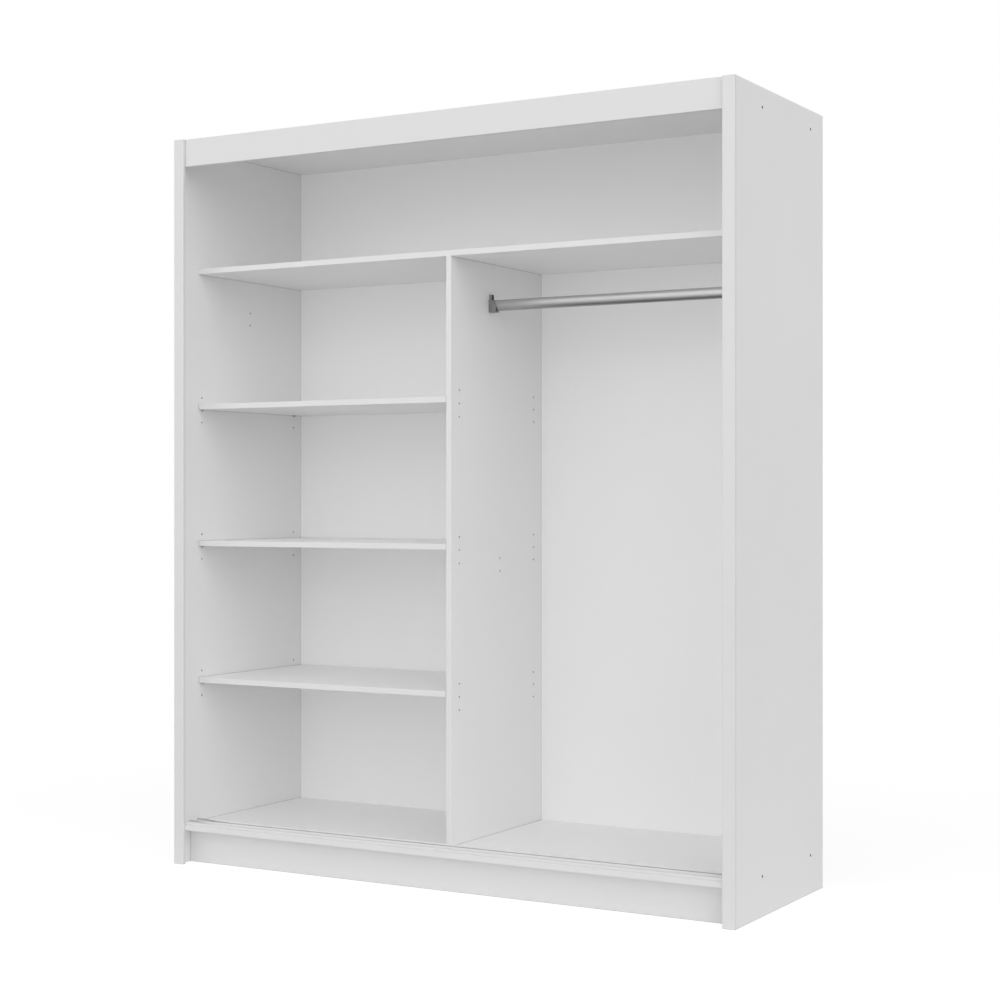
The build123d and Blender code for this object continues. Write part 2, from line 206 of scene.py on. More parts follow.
class NodeSheet:
    """Adds nodes to one node tree. An input is a value, or the output socket that feeds it."""

    def __init__(self, tree):
        self.tree = tree

    def feed(self, socket, value):
        """Links an output socket to an input, or sets the input's value."""
        if isinstance(value, bpy.types.NodeSocket):
            self.tree.links.new(value, socket)
        elif socket.type == "RGBA" and len(value) == 3:
            socket.default_value = (*value, 1.0)
        else:
            socket.default_value = value

    def add(self, kind, inputs=None, **settings):
        """New node of a kind, with its inputs by label or number, and its settings."""
        node = self.tree.nodes.new(kind)
        for key, value in settings.items():
            setattr(node, key, value)
        for key, value in (inputs or {}).items():
            self.feed(node.inputs[key], value)
        return node

    def place(self):
        return self.add("ShaderNodeTexCoord").outputs["Object"]

    def maths(self, operation, *values):
        return self.add("ShaderNodeMath", dict(enumerate(values)),
                        operation=operation).outputs[0]

    def vector(self, operation, *values):
        return self.add("ShaderNodeVectorMath", dict(enumerate(values)),
                        operation=operation).outputs[0]

    def blend(self, share, low, high):
        """Colour between two, by a share from 0 to 1."""
        return self.add("ShaderNodeMix", {0: share, 6: low, 7: high},
                        data_type="RGBA").outputs[2]

    def span(self, value, low, high, to_low=0.0, to_high=1.0):
        """Value moved from one range to another, and kept within it."""
        return self.add("ShaderNodeMapRange", {
            "Value": value, "From Min": low, "From Max": high,
            "To Min": to_low, "To Max": to_high}).outputs["Result"]

    def noise(self, vector, scale, detail=2.0, roughness=0.5):
        return self.add("ShaderNodeTexNoise", {
            "Vector": vector, "Scale": scale, "Detail": detail,
            "Roughness": roughness}).outputs["Fac"]

    def stretch(self, vector, scale):
        return self.add("ShaderNodeMapping", {"Vector": vector, "Scale": scale}).outputs[0]

    def scaled(self, colour, share):
        """Colour times a share that changes over the surface."""
        return self.add("ShaderNodeVectorMath", {0: colour, "Scale": share},
                        operation="SCALE").outputs[0]

    def drift(self, tone, colour, share):
        """Colour that falls to a share of itself where the tone is low."""
        return self.blend(tone, tuple(share * part for part in colour), colour)

    def rubbed(self, pearl, rough):
        """Roughness that drifts over a range as the pearl relief's rubbed places do."""
        return self.span(pearl["Rub"], 0.0, 1.0, *rough)

    def effect(self, name, **inputs):
        """Outputs of a shared effect, placed with its own values."""
        node = self.add("ShaderNodeGroup", node_tree=bpy.data.node_groups[name])
        for key, value in inputs.items():
            self.feed(node.inputs[key.replace("_", " ")], value)
        return node.outputs


def new_effect(name, inputs, outputs):
    """Empty shader node group: returns its sheet, its input sockets and its output node."""
    tree = bpy.data.node_groups.new(name, "ShaderNodeTree")
    for label, kind, value in inputs:
        socket = tree.interface.new_socket(label, in_out="INPUT", socket_type=kind)
        socket.default_value = value
    for label, kind in outputs:
        tree.interface.new_socket(label, in_out="OUTPUT", socket_type=kind)
    sheet = NodeSheet(tree)
    return sheet, sheet.add("NodeGroupInput").outputs, sheet.add("NodeGroupOutput").inputs


def new_finish(name, **plain):
    """Material with a Principled shader: returns it, its sheet and its shader node.

    plain holds the shader's values that are the same all over the surface.
    """
    material = bpy.data.materials.new(name)
    material.use_nodes = True
    sheet = NodeSheet(material.node_tree)
    shader = material.node_tree.nodes["Principled BSDF"]
    for label, value in plain.items():
        sheet.feed(shader.inputs[label.replace("_", " ")], value)
    return material, sheet, shader


def new_stage_finish(name):
    """Material with no shader yet: returns it, its sheet and the socket of its surface."""
    material = bpy.data.materials.new(name)
    material.use_nodes = True
    nodes = material.node_tree.nodes
    nodes.remove(nodes["Principled BSDF"])
    return material, NodeSheet(material.node_tree), nodes["Material Output"].inputs["Surface"]


def bump(sheet, shader, height, depth):
    """Relief of that depth on a shader's surface."""
    node = sheet.add("ShaderNodeBump", {"Height": height, "Distance": depth})
    sheet.feed(shader.inputs["Normal"], node.outputs["Normal"])


# ---- effects that several finishes share -----------------------------------------------

PLANE_SLACK = 0.0002      # how far from a plane a face may lie and still count as on it
NOISE_CORE = (0.35, 0.65)     # most of a noise's values lie within this span
NOISE_BODY = (0.3, 0.7)       # nearly all of them lie within this one
CORNER_SAMPLES = 4
FLOAT, COLOUR, VECTOR = "NodeSocketFloat", "NodeSocketColor", "NodeSocketVector"


def make_pearl_effect():
    """Fine relief of a moulded surface, a slow drift of its tone, and upright rubbed places."""
    sheet, given, out = new_effect(
        "pearl relief", [("Grain", FLOAT, 900.0), ("Drift", FLOAT, 1.6)],
        [("Height", FLOAT), ("Tone", FLOAT), ("Rub", FLOAT)])
    place = sheet.place()
    coarse = sheet.noise(place, given["Grain"], detail=3.0, roughness=0.6)
    fine = sheet.noise(place, sheet.maths("MULTIPLY", given["Grain"], 2.7), detail=1.0)
    sheet.feed(out["Height"], sheet.maths("MULTIPLY_ADD", fine, 0.4, coarse))
    sheet.feed(out["Tone"], sheet.span(sheet.noise(place, given["Drift"]), *NOISE_CORE))
    wipes = sheet.noise(sheet.stretch(place, (3.0, 3.0, 0.8)), 6.0, detail=4.0, roughness=0.65)
    sheet.feed(out["Rub"], sheet.span(wipes, *NOISE_BODY))


def make_drawn_effect():
    """Fine lines along X, as drawing and extruding leave on metal."""
    sheet, given, out = new_effect("drawn lines", [("Lines", FLOAT, 2600.0)],
                                   [("Height", FLOAT), ("Tone", FLOAT)])
    along = sheet.stretch(sheet.place(), (0.004, 1.0, 1.0))
    lines = sheet.noise(along, given["Lines"], roughness=0.6)
    sheet.feed(out["Height"], lines)
    sheet.feed(out["Tone"], sheet.span(lines, *NOISE_CORE))


def make_chip_effect():
    """Flakes of raw chipboard: cells of two sizes, each with its own tone."""
    sheet, given, out = new_effect(
        "raw chips", [("Light", COLOUR, (1, 1, 1, 1)), ("Dark", COLOUR, (0, 0, 0, 1)),
                      ("Flakes", FLOAT, 420.0)],
        [("Color", COLOUR), ("Height", FLOAT)])
    flat = sheet.stretch(sheet.place(), (1.0, 1.0, 0.45))
    large = sheet.add("ShaderNodeTexVoronoi", {"Vector": flat, "Scale": given["Flakes"]})
    small = sheet.add("ShaderNodeTexVoronoi", {
        "Vector": flat, "Scale": sheet.maths("MULTIPLY", given["Flakes"], 2.3)})
    tones = [sheet.add("ShaderNodeSeparateColor", {0: cells.outputs["Color"]}).outputs[0]
             for cells in (large, small)]
    share = sheet.maths("MULTIPLY_ADD", tones[0], 0.65, sheet.maths("MULTIPLY", tones[1], 0.35))
    sheet.feed(out["Color"], sheet.blend(share, given["Dark"], given["Light"]))
    sheet.feed(out["Height"], share)


def make_fibre_effect():
    """Short fibres pressed into a sheet, with the print of the press's screen."""
    sheet, given, out = new_effect(
        "pressed fibres", [("Color", COLOUR, (1, 1, 1, 1))],
        [("Color", COLOUR), ("Height", FLOAT)])
    place = sheet.place()
    fibres = sheet.noise(sheet.stretch(place, (1.0, 1.0, 0.25)), 900.0, detail=3.0,
                         roughness=0.7)
    clouds = sheet.noise(place, 9.0, detail=3.0)
    waves = [sheet.add("ShaderNodeTexWave", {"Vector": place, "Scale": 160.0,
                                             "Distortion": 0.6},
                       bands_direction=way).outputs["Fac"] for way in ("X", "Z")]
    screen = sheet.maths("MULTIPLY", *waves)
    tone = sheet.maths("ADD", sheet.span(fibres, *NOISE_BODY, 0.75, 1.1),
                       sheet.span(clouds, *NOISE_BODY, -0.05, 0.05))
    sheet.feed(out["Color"], sheet.scaled(given["Color"], tone))
    sheet.feed(out["Height"], sheet.maths("MULTIPLY_ADD", screen, 0.6, fibres))


def make_corner_effect():
    """Thin shade where two surfaces meet, and in bores and grooves.

    It is full where a third of the way out is open, and gone where nearly all of it is.
    """
    sheet, given, out = new_effect(
        "corner shade", [("Color", COLOUR, (1, 1, 1, 1)), ("Reach", FLOAT, 0.003),
                         ("Depth", FLOAT, 0.5)],
        [("Color", COLOUR)])
    open_share = sheet.add("ShaderNodeAmbientOcclusion", {"Distance": given["Reach"]},
                           samples=CORNER_SAMPLES).outputs["AO"]
    shade = sheet.maths("MULTIPLY", sheet.span(open_share, 0.95, 0.35), given["Depth"])
    sheet.feed(out["Color"], sheet.scaled(given["Color"], sheet.maths("SUBTRACT", 1.0, shade)))


def make_beyond_effect():
    """Mask that is 1 where the place along one direction is past a limit."""
    sheet, given, out = new_effect(
        "past a plane", [("Direction", VECTOR, (0, 1, 0)), ("Limit", FLOAT, 0.0)],
        [("Mask", FLOAT)])
    reach = sheet.add("ShaderNodeVectorMath", {0: sheet.place(), 1: given["Direction"]},
                      operation="DOT_PRODUCT").outputs["Value"]
    sheet.feed(out["Mask"], sheet.maths("GREATER_THAN", reach, given["Limit"]))


def make_box_effect():
    """Mask that is 1 inside a box, given by its centre and its half sizes.

    |place - centre| - half is below zero in each of its three parts only inside the box.
    """
    sheet, given, out = new_effect(
        "within a box", [("Centre", VECTOR, (0, 0, 0)), ("Half", VECTOR, (1, 1, 1))],
        [("Mask", FLOAT)])
    away = sheet.vector("SUBTRACT", sheet.place(), given["Centre"])
    outside = sheet.vector("SUBTRACT", sheet.vector("ABSOLUTE", away), given["Half"])
    parts = sheet.add("ShaderNodeSeparateXYZ", {0: outside}).outputs
    furthest = sheet.maths("MAXIMUM", sheet.maths("MAXIMUM", parts[0], parts[1]), parts[2])
    sheet.feed(out["Mask"], sheet.maths("LESS_THAN", furthest, 0.0))


def make_track_shade_effect():
    """Mask of a thin streak of painted shade on an upright face along X, strongest at its start.

    Its middle lies at height = Start Height + Slope * (x - Start). It is full within 0.15
    of its Thickness from there and gone at 0.5, and full over 0.3 of its Length.
    """
    sheet, given, out = new_effect(
        "grease smear", [("Start", FLOAT, 0.0), ("Start Height", FLOAT, 0.0),
                         ("Slope", FLOAT, 0.0), ("Length", FLOAT, 0.1),
                         ("Thickness", FLOAT, 0.004), ("Face", FLOAT, 0.0)],
        [("Mask", FLOAT)])
    x, y, z = sheet.add("ShaderNodeSeparateXYZ", {0: sheet.place()}).outputs
    along = sheet.maths("SUBTRACT", x, given["Start"])
    middle = sheet.maths("MULTIPLY_ADD", along, given["Slope"], given["Start Height"])
    off = sheet.maths("ABSOLUTE", sheet.maths("SUBTRACT", z, middle))
    across = sheet.span(sheet.maths("DIVIDE", off, given["Thickness"]), 0.5, 0.15)
    fade = sheet.span(sheet.maths("DIVIDE", along, given["Length"]), 1.0, 0.3)
    on_face = sheet.maths("COMPARE", y, given["Face"], PLANE_SLACK)
    sheet.feed(out["Mask"], sheet.maths("MULTIPLY", sheet.maths("MULTIPLY", across, fade),
                                        on_face))


# ---- finishes --------------------------------------------------------------------------

# Depth of each relief.
PEARL_DEPTH = 0.00002
CHIP_DEPTH = 0.0002
FIBRE_DEPTH = 0.00012
PLASTIC_DEPTH = 0.00001
CAST_DEPTH = 0.00003
ZINC_DEPTH = 0.00001
CHROME_DEPTH = 0.000002
EXTRUDED_DEPTH = 0.000003
PORE_DEPTH = 0.00005

# Range over which each surface's roughness drifts, and what a raw rear adds to it.
FILM_ROUGH = (0.44, 0.52)
BAND_ROUGH = (0.34, 0.4)
SHEET_ROUGH = (0.5, 0.58)
CHROME_ROUGH = (0.42, 0.46)
ZINC_ROUGH = (0.3, 0.42)
BLACK_ZINC_ROUGH = (0.35, 0.45)
CAST_ROUGH = (0.32, 0.42)
TRACK_ROUGH = (0.32, 0.4)
SLEEVE_ROUGH = (0.5, 0.6)
CHIP_ROUGHER = 0.4
FIBRE_ROUGHER = 0.3

FAINT = 0.985             # share of its colour to which a white surface drifts
BOARD_CORNERS = 0.45      # depth of the shade in corners, on boards and on tracks
TRACK_CORNERS = 0.25
TRACK_SHADE_COVER = 0.75       # share of the coat's colour that the painted shade hides
FILM = Vector((0.0002, 0.001, 0.001))     # film on a board's faces, band on its edges


def shade_streak(face, height, slope, length, thickness):
    """Values of a streak of painted shade that starts at the lower track's left end."""
    return {"Face": face, "Start": TRACK_LOW.x, "Start_Height": TRACK_LOW.z + height,
            "Slope": slope, "Length": length, "Thickness": thickness}


# Front faces of the lower track's rear and middle walls, and the painted shade on them: a contact
# shadow along the rear wall's foot, and shadow wedges that slope down from near each wall's top
# at the left end.
TRACK_WALL = 0.002
REAR_WALL = TRACK_HIGH.y - TRACK_WALL
MIDDLE_WALL = (TRACK_LOW.y + TRACK_HIGH.y - TRACK_WALL) / 2
TRACK_SHADE_STREAKS = (
    shade_streak(REAR_WALL, height=0.0022, slope=0.0, length=6.0, thickness=0.003),
    shade_streak(REAR_WALL, height=0.0075, slope=-0.048, length=0.125, thickness=0.0045),
    shade_streak(MIDDLE_WALL, height=0.0065, slope=-0.05, length=0.08, thickness=0.003))


def melamine_finish(name, colour, raw=None, core=None):
    """Satin melamine film with a fine pearl, on a chipboard core.

    raw is (light, dark, plane): the face on that Y plane shows the raw core. core is
    (low, high, colour): the board's box and the painted shade colour of the bore walls inside it.
    """
    material, sheet, shader = new_finish(name, IOR=1.5)
    pearl = sheet.effect("pearl relief")
    face = sheet.drift(pearl["Tone"], colour, FAINT)
    rough = sheet.rubbed(pearl, FILM_ROUGH)
    height = pearl["Height"]
    if raw:
        light, dark, plane = raw
        mask = sheet.effect("past a plane", Limit=plane - PLANE_SLACK)["Mask"]
        chips = sheet.effect("raw chips", Light=light, Dark=dark)
        face = sheet.blend(mask, face, chips["Color"])
        if core:
            # The bore walls inside the board are painted dark as shade, in place of the raw
            # chips.
            low, high, bore_shade = core
            inside = sheet.effect("within a box", Centre=(low + high) / 2,
                                  Half=(high - low) / 2 - FILM)["Mask"]
            face = sheet.blend(inside, face, bore_shade)
        rough = sheet.maths("MULTIPLY_ADD", mask, CHIP_ROUGHER, rough)
        height = sheet.maths("MULTIPLY_ADD", sheet.maths("MULTIPLY", mask, chips["Height"]),
                             CHIP_DEPTH / PEARL_DEPTH, height)
    sheet.feed(shader.inputs["Base Color"],
               sheet.effect("corner shade", Color=face, Depth=BOARD_CORNERS)["Color"])
    sheet.feed(shader.inputs["Roughness"], rough)
    bump(sheet, shader, height, PEARL_DEPTH)
    return material


def band_finish(name, colour):
    """Plastic edge band: smoother and a little glossier than the film."""
    material, sheet, shader = new_finish(name, IOR=1.5)
    pearl = sheet.effect("pearl relief", Grain=500.0, Drift=4.0)
    sheet.feed(shader.inputs["Base Color"], sheet.drift(pearl["Tone"], colour, FAINT))
    sheet.feed(shader.inputs["Roughness"], sheet.rubbed(pearl, BAND_ROUGH))
    bump(sheet, shader, pearl["Height"], PLASTIC_DEPTH)
    return material


def sheet_finish(name, face_colour, rear_colour, plane):
    """Thin fibreboard: painted ahead of the plane, raw and brown behind it."""
    material, sheet, shader = new_finish(name, IOR=1.48)
    pearl = sheet.effect("pearl relief", Grain=600.0, Drift=1.1)
    fibres = sheet.effect("pressed fibres", Color=rear_colour)
    mask = sheet.effect("past a plane", Limit=plane)["Mask"]
    face = sheet.drift(pearl["Tone"], face_colour, FAINT)
    sheet.feed(shader.inputs["Base Color"], sheet.blend(mask, face, fibres["Color"]))
    sheet.feed(shader.inputs["Roughness"], sheet.maths(
        "MULTIPLY_ADD", mask, FIBRE_ROUGHER, sheet.rubbed(pearl, SHEET_ROUGH)))
    height = sheet.maths("MULTIPLY_ADD", sheet.maths("MULTIPLY", mask, fibres["Height"]),
                         FIBRE_DEPTH / PEARL_DEPTH, pearl["Height"])
    bump(sheet, shader, height, PEARL_DEPTH)
    return material


def drawn_metal_finish(name, colour, rough, depth):
    """Bare or plated metal with fine drawing lines."""
    material, sheet, shader = new_finish(name, Metallic=1.0)
    lines = sheet.effect("drawn lines")
    pearl = sheet.effect("pearl relief", Grain=300.0, Drift=5.0)
    sheet.feed(shader.inputs["Base Color"], sheet.drift(lines["Tone"], colour, 0.94))
    sheet.feed(shader.inputs["Roughness"], sheet.rubbed(pearl, rough))
    bump(sheet, shader, lines["Height"], depth)
    return material


def cast_metal_finish(name, colour, cap_colour, cap):
    """Plated die-cast zinc with fine orange peel, and plastic caps.

    cap is (low, high): the box in which the surface is plastic.
    """
    material, sheet, shader = new_finish(name)
    pearl = sheet.effect("pearl relief", Grain=700.0, Drift=30.0)
    low, high = cap
    capped = sheet.effect("within a box", Centre=(low + high) / 2, Half=(high - low) / 2)["Mask"]
    plated = sheet.drift(pearl["Tone"], colour, 0.85)
    sheet.feed(shader.inputs["Base Color"], sheet.blend(capped, plated, cap_colour))
    sheet.feed(shader.inputs["Metallic"], sheet.maths("SUBTRACT", 1.0, capped))
    sheet.feed(shader.inputs["Roughness"], sheet.rubbed(pearl, CAST_ROUGH))
    bump(sheet, shader, pearl["Height"], CAST_DEPTH)
    return material


def coated_metal_finish(name, colour, track_shade, shade_streaks):
    """Extruded section with a satin coat, a trace of the extrusion lines, and painted shade on
    it.
    """
    material, sheet, shader = new_finish(name, IOR=1.5)
    lines = sheet.effect("drawn lines", Lines=900.0)
    pearl = sheet.effect("pearl relief", Grain=500.0, Drift=3.0)
    face = sheet.drift(lines["Tone"], colour, FAINT)
    # Each streak darkens the coat as painted shade.
    for values in shade_streaks:
        mask = sheet.maths("MULTIPLY", sheet.effect("grease smear", **values)["Mask"],
                           TRACK_SHADE_COVER)
        face = sheet.blend(mask, face, track_shade)
    sheet.feed(shader.inputs["Base Color"],
               sheet.effect("corner shade", Color=face, Depth=TRACK_CORNERS)["Color"])
    sheet.feed(shader.inputs["Roughness"], sheet.rubbed(pearl, TRACK_ROUGH))
    bump(sheet, shader, lines["Height"], EXTRUDED_DEPTH)
    return material


def beech_finish(name, colour):
    """Short-fibred dowel wood with dark pores along its length."""
    material, sheet, shader = new_finish(name, IOR=1.45, Roughness=0.6)
    grain = sheet.noise(sheet.stretch(sheet.place(), (60.0, 900.0, 900.0)), 1.0, detail=3.0,
                        roughness=0.6)
    sheet.feed(shader.inputs["Base Color"],
               sheet.drift(sheet.span(grain, *NOISE_CORE), colour, 0.6))
    bump(sheet, shader, grain, PORE_DEPTH)
    return material


def sleeve_finish(name, colour):
    """Moulded black plastic."""
    material, sheet, shader = new_finish(name, IOR=1.49)
    pearl = sheet.effect("pearl relief", Grain=1200.0, Drift=60.0)
    sheet.feed(shader.inputs["Base Color"], sheet.drift(pearl["Tone"], colour, 0.7))
    sheet.feed(shader.inputs["Roughness"], sheet.rubbed(pearl, SLEEVE_ROUGH))
    bump(sheet, shader, pearl["Height"], PLASTIC_DEPTH)
    return material


def dress(nodes, material):
    """Gives CAD nodes a finish."""
    for name in nodes:
        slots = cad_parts[name].data.materials
        slots.clear()
        slots.append(material)


# ---- surfaces --------------------------------------------------------------------------

SHARP_ANGLE = math.radians(35.0)      # an edge that turns more than this is sharp
FLAT_ANGLE = math.radians(1.0)        # faces that turn less than this are one
SAME_PLACE = 0.000001                 # corners closer than this are one
CAST_STEPS = 3                        # faces across a rounded edge of a bracket


def closed_grid(points):
    """Quads of a grid of points that closes on itself in both directions."""
    rows, columns = points.shape[:2]
    i, j = np.meshgrid(np.arange(rows), np.arange(columns), indexing="ij")
    i_next, j_next = (i + 1) % rows, (j + 1) % columns
    corners = [i * columns + j, i_next * columns + j,
               i_next * columns + j_next, i * columns + j_next]
    return np.stack(corners, axis=-1).reshape(-1, 4)


def finished_piece(name, mesh, material):
    """Object at the origin with one finish, smooth apart from its sharp edges."""
    mesh.shade_smooth()
    mesh.set_sharp_from_angle(angle=SHARP_ANGLE)
    mesh.materials.clear()
    mesh.materials.append(material)
    piece = bpy.data.objects.new(name, mesh)
    bpy.context.scene.collection.objects.link(piece)
    return piece


def surface_object(name, points, faces, material):
    """Piece from arrays of points and quads."""
    mesh = bpy.data.meshes.new(name)
    count = len(faces)
    mesh.vertices.add(points.size // 3)
    mesh.vertices.foreach_set("co", points.astype(np.float32).ravel())
    mesh.loops.add(count * 4)
    mesh.loops.foreach_set("vertex_index", faces.astype(np.int32).ravel())
    mesh.polygons.add(count)
    mesh.polygons.foreach_set("loop_start", np.arange(count, dtype=np.int32) * 4)
    mesh.update(calc_edges=True)
    mesh.validate()
    return finished_piece(name, mesh, material)


def wall_loop(start, end, wall, rounding, steps=5):
    """Outline of a tube's wall, cut lengthwise, as (place along the axis, offset inwards).

    It runs along the outside, round the far end, back along the inside and round the near
    end. Each of its four corners is a quarter circle of the rounding's radius:
    corner centre + radius * (cos t, sin t), for t over a quarter turn.
    """
    turns = np.linspace(0.0, math.pi / 2, steps)
    corners = ((end - rounding, rounding, -math.pi / 2), (end - rounding, wall - rounding, 0.0),
               (start + rounding, wall - rounding, math.pi / 2),
               (start + rounding, rounding, math.pi))
    along = np.concatenate([x + rounding * np.cos(first + turns) for x, _, first in corners])
    inwards = np.concatenate([d + rounding * np.sin(first + turns) for _, d, first in corners])
    return along, inwards


def oval_tube(low, high, wall, rounding, facets):
    """Oval tube along X that fills a box.

    P(u, v) = (along(v), cy + (a - inwards(v)) cos u, cz + (b - inwards(v)) sin u), where a
    and b are the oval's half sizes, and along(v) and inwards(v) are the wall's outline.
    """
    u = np.linspace(0.0, 2 * math.pi, facets, endpoint=False)
    along, inwards = wall_loop(low.x, high.x, wall, rounding)
    centre, half = (low + high) / 2, (high - low) / 2
    y = centre.y + np.outer(np.cos(u), half.y - inwards)
    z = centre.z + np.outer(np.sin(u), half.z - inwards)
    return np.stack([np.broadcast_to(along, y.shape), y, z], axis=-1)


def rounded_copy(node, name, material, rounding):
    """Copy of a CAD node with its loose triangles merged and its edges rounded."""
    mesh = bpy.data.meshes.new(name)
    form = bmesh.new()
    form.from_mesh(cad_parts[node].data)
    bmesh.ops.remove_doubles(form, verts=form.verts, dist=SAME_PLACE)
    bmesh.ops.dissolve_limit(form, angle_limit=FLAT_ANGLE, verts=form.verts, edges=form.edges)
    form.to_mesh(mesh)
    form.free()
    piece = finished_piece(name, mesh, material)
    edges = piece.modifiers.new("Cast edges", "BEVEL")
    edges.width = rounding
    edges.segments = CAST_STEPS
    edges.limit_method = "ANGLE"
    edges.angle_limit = SHARP_ANGLE
    edges.harden_normals = True
    return piece


# ---- operators -------------------------------------------------------------------------

class WARDROBE_OT_effects(bpy.types.Operator):
    """Builds the shader effects that the finishes share"""

    bl_idname = "wardrobe.effects"
    bl_label = "Surface effects"

    def execute(self, context):
        for make in (make_pearl_effect, make_drawn_effect, make_chip_effect, make_fibre_effect,
                     make_corner_effect, make_beyond_effect, make_box_effect,
                     make_track_shade_effect):
            make()
        return {"FINISHED"}


class WARDROBE_OT_boards(bpy.types.Operator):
    """Faces the boards with white melamine and leaves their rear edges raw"""

    bl_idname = "wardrobe.boards"
    bl_label = "Boards"

    def execute(self, context):
        tones = context.scene.wardrobe.finishes
        raw = (tones.chip_light, tones.chip_dark, CAD_BOX[1].y)
        dress(RAW_REAR_BOARDS, melamine_finish("melamine, raw rear edge", tones.melamine, raw))
        # The bored boards get painted shade on their bore walls.
        for node in BORED_BOARDS:
            dress((node,), melamine_finish(f"melamine, {node}", tones.melamine, raw,
                                           (*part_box(node), tones.bore_shade)))
        # A darker copy of the white melamine, as painted shade, for the front boards in full
        # light.
        dress(FACED_BOARDS, melamine_finish("melamine, all edges", tones.front))
        return {"FINISHED"}


class WARDROBE_OT_bands(bpy.types.Operator):
    """Gives the front edges of shelves, divider and bottom their plastic band"""

    bl_idname = "wardrobe.bands"
    bl_label = "Edge bands"

    def execute(self, context):
        dress(EDGE_BANDS, band_finish("edge band", context.scene.wardrobe.finishes.band))
        return {"FINISHED"}


class WARDROBE_OT_back_sheets(bpy.types.Operator):
    """Paints the back sheets' faces and leaves their rear brown"""

    bl_idname = "wardrobe.back_sheets"
    bl_label = "Back sheets"

    def execute(self, context):
        tones = context.scene.wardrobe.finishes
        middle = (SHEET_LOW.y + SHEET_HIGH.y) / 2
        dress(BACK_SHEETS,
              sheet_finish("back sheet", tones.sheet_face, tones.sheet_rear, middle))
        return {"FINISHED"}


class WARDROBE_OT_tracks(bpy.types.Operator):
    """Coats the door tracks and paints shade on the lower track's walls"""

    bl_idname = "wardrobe.tracks"
    bl_label = "Door tracks"

    def execute(self, context):
        tones = context.scene.wardrobe.finishes
        dress(TRACKS, coated_metal_finish("track coat", tones.track, tones.track_shade, TRACK_SHADE_STREAKS))
        return {"FINISHED"}


class WARDROBE_OT_fittings(bpy.types.Operator):
    """Finishes screws, pins, cams, nails, dowels and sleeves"""

    bl_idname = "wardrobe.fittings"
    bl_label = "Fittings"

    def execute(self, context):
        tones = context.scene.wardrobe.finishes
        dress(STEEL_FITTINGS,
              drawn_metal_finish("zinc plating", tones.zinc, ZINC_ROUGH, ZINC_DEPTH))
        dress(("dowels",), beech_finish("beech", tones.beech))
        dress(("bracket_screws",),
              drawn_metal_finish("black zinc", tones.black_zinc, BLACK_ZINC_ROUGH, ZINC_DEPTH))
        dress(("link_sleeves",), sleeve_finish("black sleeve", tones.sleeve))
        return {"FINISHED"}


class WARDROBE_OT_rail(bpy.types.Operator):
    """Shapes the oval hanging rail"""

    bl_idname = "wardrobe.rail"
    bl_label = "Hanging rail"

    def execute(self, context):
        settings = context.scene.wardrobe
        chrome = drawn_metal_finish("chrome plating", settings.finishes.chrome, CHROME_ROUGH,
                                    CHROME_DEPTH)
        sizes = settings.rail
        points = oval_tube(RAIL_LOW, RAIL_HIGH, sizes.wall, sizes.end_round, sizes.facets)
        tube = surface_object("rail_tube", points, closed_grid(points), chrome)
        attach(tube, RAIL_BODY)
        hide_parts("hanging_rail")
        return {"FINISHED"}


class WARDROBE_OT_rail_brackets(bpy.types.Operator):
    """Rounds the edges of the two die-cast rail brackets"""

    bl_idname = "wardrobe.rail_brackets"
    bl_label = "Rail brackets"

    def execute(self, context):
        tones, sizes = context.scene.wardrobe.finishes, context.scene.wardrobe.rail
        low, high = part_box(RAIL_BRACKETS[0])
        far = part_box(RAIL_BRACKETS[1])[1].x
        reach = sizes.boss_reach - PLANE_SLACK
        cap = (Vector((low.x + reach, low.y, high.z - sizes.boss_height)),
               Vector((far - reach, high.y, high.z)))
        cast = cast_metal_finish("plated die-cast", tones.bracket, tones.bracket_cap, cap)
        for node in RAIL_BRACKETS:
            piece = rounded_copy(node, f"{node}_casting", cast, sizes.cast_round)
            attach(piece, ROOT_BODY)
            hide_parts(node)
        return {"FINISHED"}


LAMPS = (  # name, degrees to the right, degrees up, softness in degrees, strength, shadow
    ("key", 60.0, 30.0, 60.0, 1.02, True),
    ("left_soft", -30.0, 25.0, 60.0, 0.466, True),
    ("front_low", 5.0, 8.0, 30.0, 0.222, True),
    ("fill_front", 0.0, 0.0, 1.0, 0.264, False),
    ("fill_top", 0.0, 90.0, 1.0, 0.248, False),
)
SENSOR_WIDTH = 36.0       # millimetres
CLOTH_TURN_STEPS = 9


